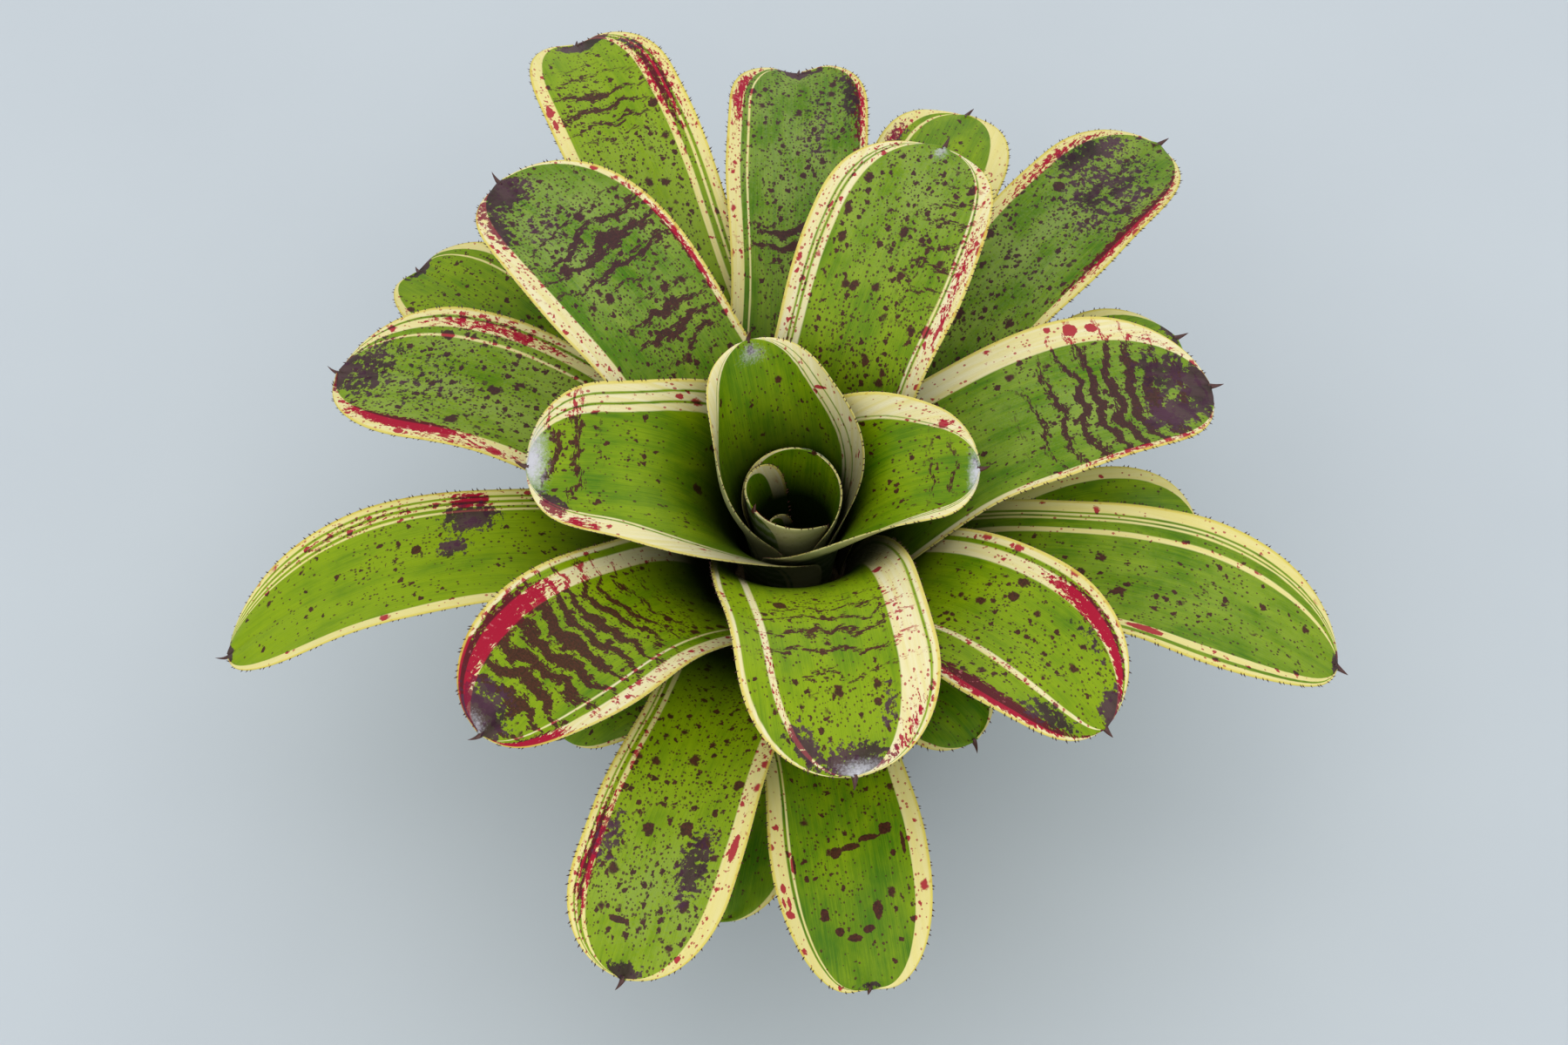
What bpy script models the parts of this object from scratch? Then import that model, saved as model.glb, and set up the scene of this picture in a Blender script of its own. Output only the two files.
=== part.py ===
"""A bromeliad in a plain plastic nursery pot.

The solids are the pot, its potting mix, the plant's short stem and every leaf of its
rosette. World frame: metres, +Z up, origin at the centre of the pot's flat bottom.
Lengths below are in millimetres and angles in degrees, and MM turns them into metres.
"""
import math
from collections import namedtuple

import bmesh
import bpy
import numpy as np

MM = 0.001
GAP = 0.3  # left between solids that touch on the real plant

# The pot: a thin tapered cup with a rolled rim and drainage holes round its floor
POT_HEIGHT = 90.0
POT_TOP_RADIUS = 59.0
POT_BOTTOM_RADIUS = 45.0
POT_WALL = 1.5
RIM_WIDTH = 2.5
RIM_DROP = 8.0
POT_SIDES = 48
DRAIN_HOLES = 6
DRAIN_RADIUS = 5.0
DRAIN_CIRCLE = 30.0

# The potting mix fills the pot to a little under its rim and grips the foot of the stem
MIX_TOP = 77.0
MIX_SWELL = 3.0

# The stem: a domed crown that carries the leaves, on a foot that stands in the mix
CROWN_RADIUS = 42.0
CROWN_HEIGHT = 36.0
CROWN_Z = 84.0
CROWN_CLEAR = 1.2
FOOT_RADIUS = 12.0
FOOT_Z = 58.0

# Leaves
LEAF_THICK = 1.0
FIRST_LEAF_TURN = 10.0  # angle down the crown from its top, innermost leaf
LAST_LEAF_TURN = 84.0  # the same, outermost leaf
TIP_HALF_WIDTH = 1.5
ROWS = 12

LEAF_GREEN = (0.10, 0.23, 0.03, 1.0)
STEM_BROWN = (0.16, 0.11, 0.05, 1.0)
MIX_BROWN = (0.035, 0.022, 0.014, 1.0)
POT_BLACK = (0.02, 0.02, 0.022, 1.0)

# One leaf. azimuth: where its tip points, turning from +X towards +Y. reach, tip_z: the
# tip's distance from the plant's axis and its height. width: across the blade, laid flat.
# rise: how steeply it leaves the crown. droop: how steeply it climbs at its tip (below 0
# it falls). sway: how far it turns sideways from base to tip. tilt: how far its blade is
# rolled about its own length. curl: radius of its trough. lift, hook: how long, as shares
# of its length, it holds its first and its last direction. wrap: half the angle that its
# sheath takes round the plant. sheath, waist: width of the sheath and of the waist over
# it, against the blade. closed, open: shares of the length between which the rolled
# sheath opens into the trough. start, end: shares between which the sheath narrows.
# blunt: length of the rounded tip, against the width.
Leaf = namedtuple(
    "Leaf",
    "name azimuth reach tip_z width rise droop sway tilt curl lift hook wrap sheath waist "
    "closed open start end blunt",
    defaults=(0, 0, 87, 0.45, 0.33, 62, 1.15, 0.88, 0.15, 0.60, 0.0, 0.5, 0.75),
)

HEART = dict(sheath=1.1, waist=1, closed=0.4, open=1.8)
CUP = dict(waist=1, closed=0.35, open=0.9, wrap=130)

# From the innermost leaf to the outermost, which is the order they are wrapped in
LEAVES = [
    Leaf("heart_leaf_1", 190, 9, 150, 42, 88, 92, curl=14, wrap=115, blunt=0.3, **HEART),
    Leaf("heart_leaf_2", 215, 17, 178, 84, 86, 86, curl=20, wrap=125, blunt=0.28, **HEART),
    Leaf("heart_leaf_3", 62, 19, 178, 84, 87, 86, curl=22, wrap=135, blunt=0.25, **HEART),
    Leaf("cup_leaf_back", 111, 44, 216, 80, 86, 56, curl=27, lift=0.50, hook=0.28,
         wrap=165, sheath=1.55, waist=1, closed=0.35, open=0.95, start=0.45, end=0.85,
         blunt=0.65),
    Leaf("cup_leaf_right", 356, 70, 198, 60, 86, 12, tilt=8, curl=34, lift=0.62, hook=0.36,
         sheath=1.75, start=0.50, end=0.88, blunt=0.55, **CUP),
    Leaf("cup_leaf_left", 183, 98, 200, 68, 86, 5, tilt=-12, curl=50, lift=0.58, hook=0.46,
         sheath=1.65, start=0.43, end=0.80, blunt=0.50, **CUP),
    Leaf("inner_leaf_1", 65, 140, 226, 70, 80, -5, lift=0.48, blunt=0.65),
    Leaf("inner_leaf_2", 279, 140, 203, 73, 84, -30, lift=0.34, hook=0.52, wrap=90,
         sheath=1.25, waist=1.05, closed=0.25, open=0.80, blunt=0.60),
    Leaf("inner_leaf_3", 133, 166, 212, 68, 75, -5, sway=4),
    Leaf("inner_leaf_4", 15, 166, 185, 70, 73, -10, sway=-5, waist=0.95, blunt=0.70),
    Leaf("inner_leaf_5", 226, 158, 190, 70, 71, -20, waist=0.95),
    Leaf("inner_leaf_6", 315, 157, 190, 68, 69, -20, sway=-5, waist=1),
    Leaf("middle_leaf_1", 162, 184, 175, 66, 67, -10, sway=6, blunt=0.65),
    Leaf("middle_leaf_2", 89, 206, 186, 57, 65, -20, blunt=0.60),
    Leaf("middle_leaf_3", 48, 222, 184, 55, 63, -10),
    Leaf("middle_leaf_4", 253, 201, 156, 58, 60, -25, blunt=0.65),
    Leaf("middle_leaf_5", 345, 213, 140, 64, 58, -30, sway=-4, blunt=1.1),
    Leaf("middle_leaf_6", 190, 220, 120, 58, 56, -35, sway=7, wrap=56, blunt=1.5),
    Leaf("middle_leaf_7", 112, 240, 183, 58, 54, -25),
    Leaf("middle_leaf_8", 278, 199, 150, 57, 52, -20, blunt=0.85),
    Leaf("outer_leaf_1", 141, 198, 155, 54, 50, -20),
    Leaf("outer_leaf_2", 70, 214, 160, 56, 48, -20),
    Leaf("outer_leaf_3", 31, 180, 150, 52, 46, -15),
    Leaf("outer_leaf_4", 311, 105, 126, 52, 44, -30),
    Leaf("outer_leaf_5", 223, 117, 130, 52, 42, -25),
    Leaf("outer_leaf_6", 260, 154, 120, 50, 40, -25),
    Leaf("outer_leaf_7", 8, 163, 118, 52, 38, -30),
]
WRAPPED_LEAVES = 6  # the heart and cup leaves, which bend far enough to need more columns
WRAPPED_COLUMNS = 12
PLAIN_COLUMNS = 6


def clear_scene():
    """Remove every object, so that the script can run again in the same file."""
    for found in list(bpy.data.objects):
        bpy.data.objects.remove(found, do_unlink=True)


def material(name, colour, roughness):
    """A plain Principled material."""
    made = bpy.data.materials.new(name)
    made.use_nodes = True
    shader = made.node_tree.nodes["Principled BSDF"]
    shader.inputs["Base Color"].default_value = colour
    shader.inputs["Roughness"].default_value = roughness
    shader.inputs["Metallic"].default_value = 0.0
    return made


def add_object(name, points_mm, faces, skin):
    """Make one object from points in millimetres, shade it smooth and keep sharp rims."""
    mesh = bpy.data.meshes.new(name)
    mesh.from_pydata((np.asarray(points_mm) * MM).tolist(), [], faces)
    mesh.validate()
    mesh.shade_smooth()
    mesh.set_sharp_from_angle(angle=math.radians(40))
    mesh.materials.append(skin)
    made = bpy.data.objects.new(name, mesh)
    bpy.context.scene.collection.objects.link(made)
    return made


def grid_faces(rows, columns, first=0, close=False):
    """Quads of a grid of points laid out row by row, closed round its columns if asked."""
    faces = []
    steps = columns if close else columns - 1
    for row in range(rows - 1):
        for column in range(steps):
            a = first + row * columns + column
            b = first + row * columns + (column + 1) % columns
            faces.append((a, b, b + columns, a + columns))
    return faces


def turned(name, rings, sides, skin):
    """Turn an outline of (radius, z) about the axis into one closed solid. It is read from
    the rim of its flat bottom face, out and round, to the rim of its last flat face."""
    angle = np.arange(sides) * 2 * np.pi / sides
    outline = np.array(rings, float)
    x = outline[:, :1] * np.cos(angle)
    y = outline[:, :1] * np.sin(angle)
    z = np.repeat(outline[:, 1:], sides, axis=1)
    points = np.stack([x, y, z], axis=-1).reshape(-1, 3)
    faces = grid_faces(len(outline), sides, close=True)
    faces.append(tuple(range(sides))[::-1])
    faces.append(tuple(range(len(points) - sides, len(points))))
    return add_object(name, points, faces, skin)


# ---- the pot and what it holds -------------------------------------------------------


def pot_radius(z):
    """Outer radius of the pot's tapered wall at a height."""
    return POT_BOTTOM_RADIUS + (POT_TOP_RADIUS - POT_BOTTOM_RADIUS) * z / POT_HEIGHT


def make_pot():
    """The cup, turned from its outline, with a ring of drainage holes cut in its floor."""
    rim = POT_TOP_RADIUS + RIM_WIDTH
    outline = [
        (POT_BOTTOM_RADIUS, 0),
        (pot_radius(POT_HEIGHT - RIM_DROP), POT_HEIGHT - RIM_DROP),
        (rim, POT_HEIGHT - RIM_DROP),
        (rim, POT_HEIGHT - 1),
        (rim - 1, POT_HEIGHT),
        (pot_radius(POT_HEIGHT) - POT_WALL, POT_HEIGHT),
        (pot_radius(POT_WALL) - POT_WALL, POT_WALL),
    ]
    pot = turned("pot", outline, POT_SIDES, material("pot_plastic", POT_BLACK, 0.45))
    for index in range(DRAIN_HOLES):
        angle = 2 * math.pi * (index + 0.5) / DRAIN_HOLES
        centre = (
            DRAIN_CIRCLE * math.cos(angle) * MM,
            DRAIN_CIRCLE * math.sin(angle) * MM,
            POT_WALL / 2 * MM,
        )
        bpy.ops.mesh.primitive_cylinder_add(
            vertices=16, radius=DRAIN_RADIUS * MM, depth=4 * POT_WALL * MM, location=centre
        )
        cutter = bpy.context.object
        cutter.name = f"drain_cutter_{index + 1}"
        cutter.hide_render = True
        cutter.display_type = "WIRE"
        cut = pot.modifiers.new(f"drain_{index + 1}", "BOOLEAN")
        cut.operation = "DIFFERENCE"
        cut.object = cutter
    return pot


def make_mix():
    """Potting mix, inside the pot's wall and round the stem's foot, which stands in a
    socket of the same shape."""
    inside = POT_WALL + 2 * GAP
    floor = POT_WALL + GAP
    socket = FOOT_RADIUS + GAP
    outline = [
        (pot_radius(floor) - inside, floor),
        (pot_radius(MIX_TOP) - inside, MIX_TOP),
        (0.7 * POT_TOP_RADIUS, MIX_TOP + 0.3 * MIX_SWELL),
        (socket + 6, MIX_TOP + 0.1 * MIX_SWELL),
        (socket, MIX_TOP),
        (socket, FOOT_Z - GAP),
    ]
    return turned("potting_mix", outline, POT_SIDES, material("mix", MIX_BROWN, 0.95))


def make_stem():
    """The crown's dome, cut back by the leaves' clearance, and its foot."""
    outline = [(FOOT_RADIUS, FOOT_Z), (FOOT_RADIUS, MIX_TOP + 2)]
    outline.append((0.75 * CROWN_RADIUS, MIX_TOP + MIX_SWELL + 1))
    for turn in range(90, 0, -15):
        radius = (CROWN_RADIUS - CROWN_CLEAR) * math.sin(math.radians(turn))
        height = (CROWN_HEIGHT - CROWN_CLEAR) * math.cos(math.radians(turn))
        outline.append((radius, CROWN_Z + height))
    return turned("stem", outline, 32, material("stem_bark", STEM_BROWN, 0.8))


# ---- leaves --------------------------------------------------------------------------


def ease(value):
    """0 up to 0, 1 from 1 on, and a smooth S between."""
    value = np.clip(value, 0, 1)
    return value * value * (3 - 2 * value)


def leaf_base(rank):
    """(radius, z) where the leaf of this rank grows out of the crown's dome."""
    share = rank / (len(LEAVES) - 1)
    turn = math.radians(FIRST_LEAF_TURN + (LAST_LEAF_TURN - FIRST_LEAF_TURN) * share)
    return np.array(
        [CROWN_RADIUS * math.sin(turn), CROWN_Z + CROWN_HEIGHT * math.cos(turn)]
    )


def midrib(leaf, rank, shares):
    """The leaf's midrib in its own upright plane, at shares of its length from 0 to 1:
    radius, z, slope angle and the whole length. It is a cubic Bezier curve from the
    crown to the tip, read at even steps along its length."""
    start = leaf_base(rank)
    tip = np.array([leaf.reach, leaf.tip_z], float)
    span = np.linalg.norm(tip - start)
    rise, droop = math.radians(leaf.rise), math.radians(leaf.droop)
    near = start + span * leaf.lift * np.array([math.cos(rise), math.sin(rise)])
    far = tip - span * leaf.hook * np.array([math.cos(droop), math.sin(droop)])
    t = np.linspace(0, 1, 200)[:, None]
    u = 1 - t
    curve = u**3 * start + 3 * u**2 * t * near + 3 * u * t**2 * far + t**3 * tip
    pace = 3 * u**2 * (near - start) + 6 * u * t * (far - near) + 3 * t**2 * (tip - far)
    steps = np.linalg.norm(np.diff(curve, axis=0), axis=1)
    along = np.concatenate([[0], np.cumsum(steps)])
    length = along[-1]
    radius, z, run, climb = (
        np.interp(shares * length, along, values)
        for values in (curve[:, 0], curve[:, 1], pace[:, 0], pace[:, 1])
    )
    return radius, z, np.arctan2(climb, run), length


def half_width(leaf, shares, radius, length):
    """Half the leaf's flattened width along it: the sheath as far as its wrap goes round
    the plant, the waist, the full blade and the round tip."""
    rounding = leaf.blunt * leaf.width
    into_tip = np.clip((shares * length - (length - rounding)) / rounding, 0, 1)
    tip = np.sqrt(np.clip(1 - into_tip**2.3, 0, 1))
    narrowing = ease((shares - leaf.start) / (leaf.end - leaf.start))
    shape = leaf.sheath + (leaf.waist - leaf.sheath) * narrowing
    shape += (1 - leaf.waist) * ease((shares - 0.42) / 0.3)
    blade = np.maximum(leaf.width / 2 * tip * shape, TIP_HALF_WIDTH)
    wrapped = radius * math.radians(leaf.wrap)
    return (wrapped**-5 + blade**-5) ** (-1 / 5)


def leaf_surface(leaf, rank, shares, across):
    """The leaf's middle surface on a grid: shares of its length by places across it, from
    -1 to 1. Each cross-section is an arc. At the base the arc is level and centred on the
    plant's axis, so the sheath is part of a tube. Further out it leans until it stands
    square to the midrib, and opens to the radius of the blade's trough."""
    radius, z, slope, length = midrib(leaf, rank, shares)
    width = half_width(leaf, shares, radius, length)
    opened = ease((shares - leaf.closed) / (leaf.open - leaf.closed))
    bend = ((1 - opened) / radius + opened / leaf.curl)[:, None]
    lean = (math.pi / 2 + (slope - math.pi / 2) * opened)[:, None]
    arc = across[None, :] * width[:, None]
    side = np.sin(bend * arc) / bend
    depth = (1 - np.cos(bend * arc)) / bend
    tilt = (math.radians(leaf.tilt) * ease((shares - 0.35) / 0.6))[:, None]
    side, depth = (
        side * np.cos(tilt) - depth * np.sin(tilt),
        side * np.sin(tilt) + depth * np.cos(tilt),
    )
    out = radius[:, None] - depth * np.sin(lean)
    height = z[:, None] + depth * np.cos(lean)
    turn = np.radians(leaf.azimuth + leaf.sway * (shares**2 - 1))[:, None]
    x = out * np.cos(turn) - side * np.sin(turn)
    y = out * np.sin(turn) + side * np.cos(turn)
    return np.stack([x, y, height], axis=-1)


def surface_normals(surface):
    """Unit normals of a grid of points, on the leaf's upper side."""
    along = np.gradient(surface, axis=0)
    over = np.gradient(surface, axis=1)
    normal = np.cross(along, over)
    return normal / np.linalg.norm(normal, axis=-1, keepdims=True)


def make_leaf(leaf, rank, skin):
    """A leaf as one closed sheet: its middle surface thickened both ways."""
    columns = WRAPPED_COLUMNS if rank < WRAPPED_LEAVES else PLAIN_COLUMNS
    shares = 1 - (1 - np.linspace(0, 1, ROWS + 1)) ** 1.25
    surface = leaf_surface(leaf, rank, shares, np.linspace(-1, 1, columns + 1))
    offset = surface_normals(surface) * LEAF_THICK / 2
    rows, columns = surface.shape[:2]
    # each row runs across the top and back along the underside, so rows are closed rings
    ring = np.concatenate([surface + offset, (surface - offset)[:, ::-1]], axis=1)
    count = 2 * columns
    faces = [face[::-1] for face in grid_faces(rows, count, close=True)]
    last = (rows - 1) * count
    for column in range(columns - 1):
        under = count - 1 - column
        faces.append((column, column + 1, under - 1, under))
        faces.append((last + under, last + under - 1, last + column + 1, last + column))
    return add_object(leaf.name, ring.reshape(-1, 3), faces, skin)


clear_scene()
make_pot()
make_mix()
make_stem()
for rank, leaf in enumerate(LEAVES):
    make_leaf(leaf, rank, material(f"{leaf.name}_green", LEAF_GREEN, 0.4))
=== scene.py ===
# %% [markdown]
# # A bromeliad in a nursery pot
# The plant is a wide funnel of strap leaves round a heart that holds rain water. Every leaf is
# one curved sheet, and its colours are the plant's own: cream edges, thin pale lines, maroon
# flecks, crimson where a fleck falls on cream. The lesson goes from the camera to the pot with
# its mix and stem, then to the shape of a leaf, the marks on it, and last its thorns.

# %% Load the frame
import math
from collections import namedtuple
from types import SimpleNamespace

import bpy
import numpy as np
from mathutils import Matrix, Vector


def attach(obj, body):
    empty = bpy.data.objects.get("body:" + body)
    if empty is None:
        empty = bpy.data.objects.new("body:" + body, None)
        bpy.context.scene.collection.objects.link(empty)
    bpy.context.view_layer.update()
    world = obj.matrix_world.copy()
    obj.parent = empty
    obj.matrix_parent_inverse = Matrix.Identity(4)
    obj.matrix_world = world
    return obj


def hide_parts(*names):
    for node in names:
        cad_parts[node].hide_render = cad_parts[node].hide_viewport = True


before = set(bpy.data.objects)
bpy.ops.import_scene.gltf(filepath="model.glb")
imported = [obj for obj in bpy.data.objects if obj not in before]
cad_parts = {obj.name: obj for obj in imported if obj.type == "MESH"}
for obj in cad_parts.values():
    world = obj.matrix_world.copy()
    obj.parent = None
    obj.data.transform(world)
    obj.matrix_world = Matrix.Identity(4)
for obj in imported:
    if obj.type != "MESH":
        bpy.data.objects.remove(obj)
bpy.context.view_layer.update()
MM = 0.001
print("solids in the frame:", len(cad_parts))

# %% [markdown]
# ## Camera
# The view looks down on the plant from in front, steeply enough to see into the heart. A long
# lens keeps the near leaves from swelling. The camera is aimed at the heart, where the leaves
# come together well above the pot, because the eye goes there first.

# %% Camera
VIEW_RISE = math.radians(56)
VIEW_DISTANCE = 1.188
LENS, SENSOR = 72, 36
HEART = np.array([0.0, 0.0, 0.170])
HEART_OFF_CENTRE = (0.0026, 0.0083)  # right of and above the middle, m


def place_camera():
    """A camera at an angle above the floor: back along the line of sight from the heart."""
    back = np.array([0, -math.cos(VIEW_RISE), math.sin(VIEW_RISE)])
    up = np.array([0, math.sin(VIEW_RISE), math.cos(VIEW_RISE)])
    eye = HEART + back * VIEW_DISTANCE - up * HEART_OFF_CENTRE[1]
    eye[0] -= HEART_OFF_CENTRE[0]
    data = bpy.data.cameras.new("camera")
    data.lens, data.sensor_width = LENS, SENSOR
    camera = bpy.data.objects.new("camera", data)
    camera.location = eye
    camera.rotation_euler = (math.pi / 2 - VIEW_RISE, 0, 0)
    bpy.context.scene.collection.objects.link(camera)
    bpy.context.scene.camera = camera
    return camera


camera = place_camera()
print("camera at", [round(v, 3) for v in camera.location])

# %% [markdown]
# ## Building with arrays
# Each piece below is a grid of points worked out as a whole with numpy. One helper turns such
# a grid into a mesh, and a second one carries numbers on the points, such as how far across a
# leaf a point lies, so that a material can follow the leaf and not the room.

# %% Helpers for meshes


def grid_faces(rows, columns, closed=False):
    """Quads between neighbouring rows and columns of a grid, wrapped round if it is closed."""
    row = np.arange(rows - 1)[:, None]
    column = np.arange(columns if closed else columns - 1)[None, :]
    a = row * columns + column
    b = row * columns + (column + 1) % columns
    return np.stack([a, b, b + columns, a + columns], axis=-1).reshape(-1, 4)


def add_mesh(name, points, groups, materials, indices=None):
    """One smooth object at the origin from points in metres and groups of faces. All the
    faces of one group have the same number of corners."""
    groups = [np.atleast_2d(np.asarray(group)) for group in groups]
    corners = np.concatenate([group.ravel() for group in groups]).astype(np.int32)
    sizes = np.concatenate([np.full(len(group), group.shape[1]) for group in groups])
    starts = np.concatenate([[0], np.cumsum(sizes)[:-1]]).astype(np.int32)
    mesh = bpy.data.meshes.new(name)
    mesh.vertices.add(len(points))
    mesh.vertices.foreach_set("co", np.asarray(points, dtype=np.float32).ravel())
    mesh.loops.add(len(corners))
    mesh.loops.foreach_set("vertex_index", corners)
    mesh.polygons.add(len(starts))
    mesh.polygons.foreach_set("loop_start", starts)
    for skin in materials:
        mesh.materials.append(skin)
    if indices is not None:
        mesh.polygons.foreach_set("material_index", np.asarray(indices, dtype=np.int32))
    mesh.update(calc_edges=True)
    mesh.validate()
    mesh.shade_smooth()
    made = bpy.data.objects.new(name, mesh)
    bpy.context.scene.collection.objects.link(made)
    return made


def carry(piece, name, values):
    """Store one vector per point under a name that a material can read."""
    attribute = piece.data.attributes.new(name, "FLOAT_VECTOR", "POINT")
    attribute.data.foreach_set("vector", np.asarray(values, dtype=np.float32).ravel())


def turned_points(outline, sides):
    """Turn (radius, z) about the axis: x = r cos angle, y = r sin angle."""
    angle = np.arange(sides) * 2 * np.pi / sides
    outline = np.asarray(outline, float)
    x = outline[:, :1] * np.cos(angle)
    y = outline[:, :1] * np.sin(angle)
    z = np.repeat(outline[:, 1:], sides, axis=1)
    return np.stack([x, y, z], axis=-1)


def capped_faces(rings, sides):
    """Faces of a turned piece: its wall, its first ring closed below, its last above."""
    ends = np.stack([np.arange(sides)[::-1], np.arange(sides) + (rings - 1) * sides])
    return [grid_faces(rings, sides, closed=True), ends]


def ease(value):
    """0 up to 0, 1 from 1 on, and a smooth S between: 3t^2 - 2t^3."""
    value = np.clip(value, 0, 1)
    return value * value * (3 - 2 * value)


print("helpers ready")

# %% [markdown]
# ## Writing a finish
# A finish is a short chain of nodes. This helper lets one line stand for one node, so a finish
# reads like a recipe: take the noise, stretch it along the leaf, cut it at a level, use it to
# mix two colours.

# %% Helper for finishes


def linear(red, green, blue):
    """Display colour from 0 to 255 to the linear values that a shader needs."""
    c = np.array([red, green, blue]) / 255
    c = np.where(c <= 0.04045, c / 12.92, ((c + 0.055) / 1.055) ** 2.4)
    return (float(c[0]), float(c[1]), float(c[2]), 1.0)


class Finish:
    """A Principled material that is written one node at a time."""

    def __init__(self, name):
        self.material = bpy.data.materials.new(name)
        self.material.use_nodes = True
        self.tree = self.material.node_tree
        self.shader = self.tree.nodes["Principled BSDF"]

    def node(self, kind, inputs, **settings):
        """Add a node, set its options, and link or set its inputs by name or number."""
        made = self.tree.nodes.new("ShaderNode" + kind)
        for key, value in settings.items():
            setattr(made, key, value)
        for key, value in inputs.items():
            self.put(made.inputs[key], value)
        return made

    def put(self, socket, value):
        """Link a socket to another, or set its value."""
        if isinstance(value, bpy.types.NodeSocket):
            self.tree.links.new(value, socket)
        else:
            socket.default_value = value

    def set(self, name, value):
        """Give the shader's own socket a value or a link."""
        self.put(self.shader.inputs[name], value)

    def math(self, operation, a, b=0.0):
        """One sum on two numbers."""
        return self.node("Math", {0: a, 1: b}, operation=operation).outputs[0]

    def mul(self, a, b):
        return self.math("MULTIPLY", a, b)

    def add(self, a, b):
        return self.math("ADD", a, b)

    def either(self, a, b):
        """The larger of two masks, so 1 where either is 1."""
        return self.math("MAXIMUM", a, b)

    def about(self, value, amount):
        """A noise, which lies about 0.5, made to lie about 0 and as strong as the amount."""
        return self.mul(self.math("SUBTRACT", value, 0.5), amount)

    def step(self, value, low, high):
        """0 below low, 1 above high, a smooth S between. Falls if low is above high."""
        inputs = {"Value": value, "From Min": low, "From Max": high}
        return self.node("MapRange", inputs, interpolation_type="SMOOTHSTEP").outputs[0]

    def mix(self, factor, a, b):
        """Colour a where the factor is 0, b where it is 1."""
        made = self.node("Mix", {0: factor}, data_type="RGBA")
        self.put(made.inputs[6], a)
        self.put(made.inputs[7], b)
        return made.outputs[2]

    def split(self, vector):
        """The three numbers of a vector or a colour."""
        return self.node("SeparateXYZ", {0: vector}).outputs

    def carried(self, name):
        """A vector that the mesh carries on its points."""
        return self.node("Attribute", {}, attribute_name=name).outputs["Vector"]

    def place(self):
        """The piece's own coordinates in metres."""
        return self.node("TexCoord", {}).outputs["Object"]

    def stretch(self, vector, scale):
        """Scale a vector by three factors, so a pattern is longer one way than another."""
        return self.node("VectorMath", {0: vector, 1: scale}, operation="MULTIPLY").outputs[0]

    def noise(self, vector, scale, detail=3.0, rough=0.5, warp=0.0):
        """Cloudy grey from 0 to 1 at a scale, with finer and finer detail."""
        inputs = {"Vector": vector, "Scale": scale, "Detail": detail, "Roughness": rough}
        made = self.node("TexNoise", {**inputs, "Distortion": warp})
        return made.outputs["Fac"]

    def cells(self, vector, scale):
        """Distance to the nearest of scattered points, and a random colour for each."""
        made = self.node("TexVoronoi", {"Vector": vector, "Scale": scale})
        return made.outputs["Distance"], made.outputs["Color"]

    def ramp(self, factor, stops):
        """Grey level by position: stops are (position, level), straight between them."""
        made = self.node("ValToRGB", {0: factor})
        ends = made.color_ramp.elements
        while len(ends) > 1:
            ends.remove(ends[-1])
        ends[0].position = stops[0][0]
        ends[0].color = (stops[0][1],) * 3 + (1,)
        for position, level in stops[1:]:
            ends.new(position).color = (level,) * 3 + (1,)
        return made.outputs["Color"]

    def bump(self, height, strength, distance):
        """Tilt the shading as if the surface rose by the height times a distance in metres."""
        inputs = {"Height": height, "Strength": strength, "Distance": distance}
        self.set("Normal", self.node("Bump", inputs).outputs["Normal"])


print("finish helper ready")

# %% [markdown]
# ## The pot
# Such a pot is a thin tapered cup of black plastic, made in a mould: a rolled rim stiffens
# its top, and a ring of holes in the floor lets water out. Here it is turned from one
# outline, since every level of it is a circle, and the holes are cut out.

# %% Pot plastic
POT_HEIGHT, POT_TOP_RADIUS, POT_BOTTOM_RADIUS, POT_WALL = 90.0, 59.0, 45.0, 1.5
RIM_WIDTH, RIM_DROP = 2.5, 8.0
DRAIN_HOLES, DRAIN_RADIUS, DRAIN_CIRCLE = 6, 5.0, 30.0


def pot_radius(z):
    """Outer radius of the wall: it grows evenly from the bottom radius to the top one."""
    return POT_BOTTOM_RADIUS + (POT_TOP_RADIUS - POT_BOTTOM_RADIUS) * z / POT_HEIGHT


def pot_plastic():
    """Moulded black plastic: a fine grain, faint scuffs and a little dust low down."""
    f = Finish("pot_plastic")
    place = f.place()
    height = f.split(place)[2]
    scuff = f.step(f.noise(f.stretch(place, (1, 1, 4)), 45, 5, 0.65, 0.6), 0.58, 0.78)
    dust = f.mul(f.step(height, 0.05, 0.0), f.noise(place, 160, 4))
    colour = f.mix(f.mul(scuff, 0.35), linear(24, 25, 26), linear(62, 62, 60))
    f.set("Base Color", f.mix(f.mul(dust, 0.5), colour, linear(96, 88, 76)))
    f.set("Roughness", f.add(f.mul(f.noise(place, 90, 3), 0.25), 0.33))
    f.bump(f.noise(place, 1400, 2), 0.25, 0.0002)
    return f.material


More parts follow.
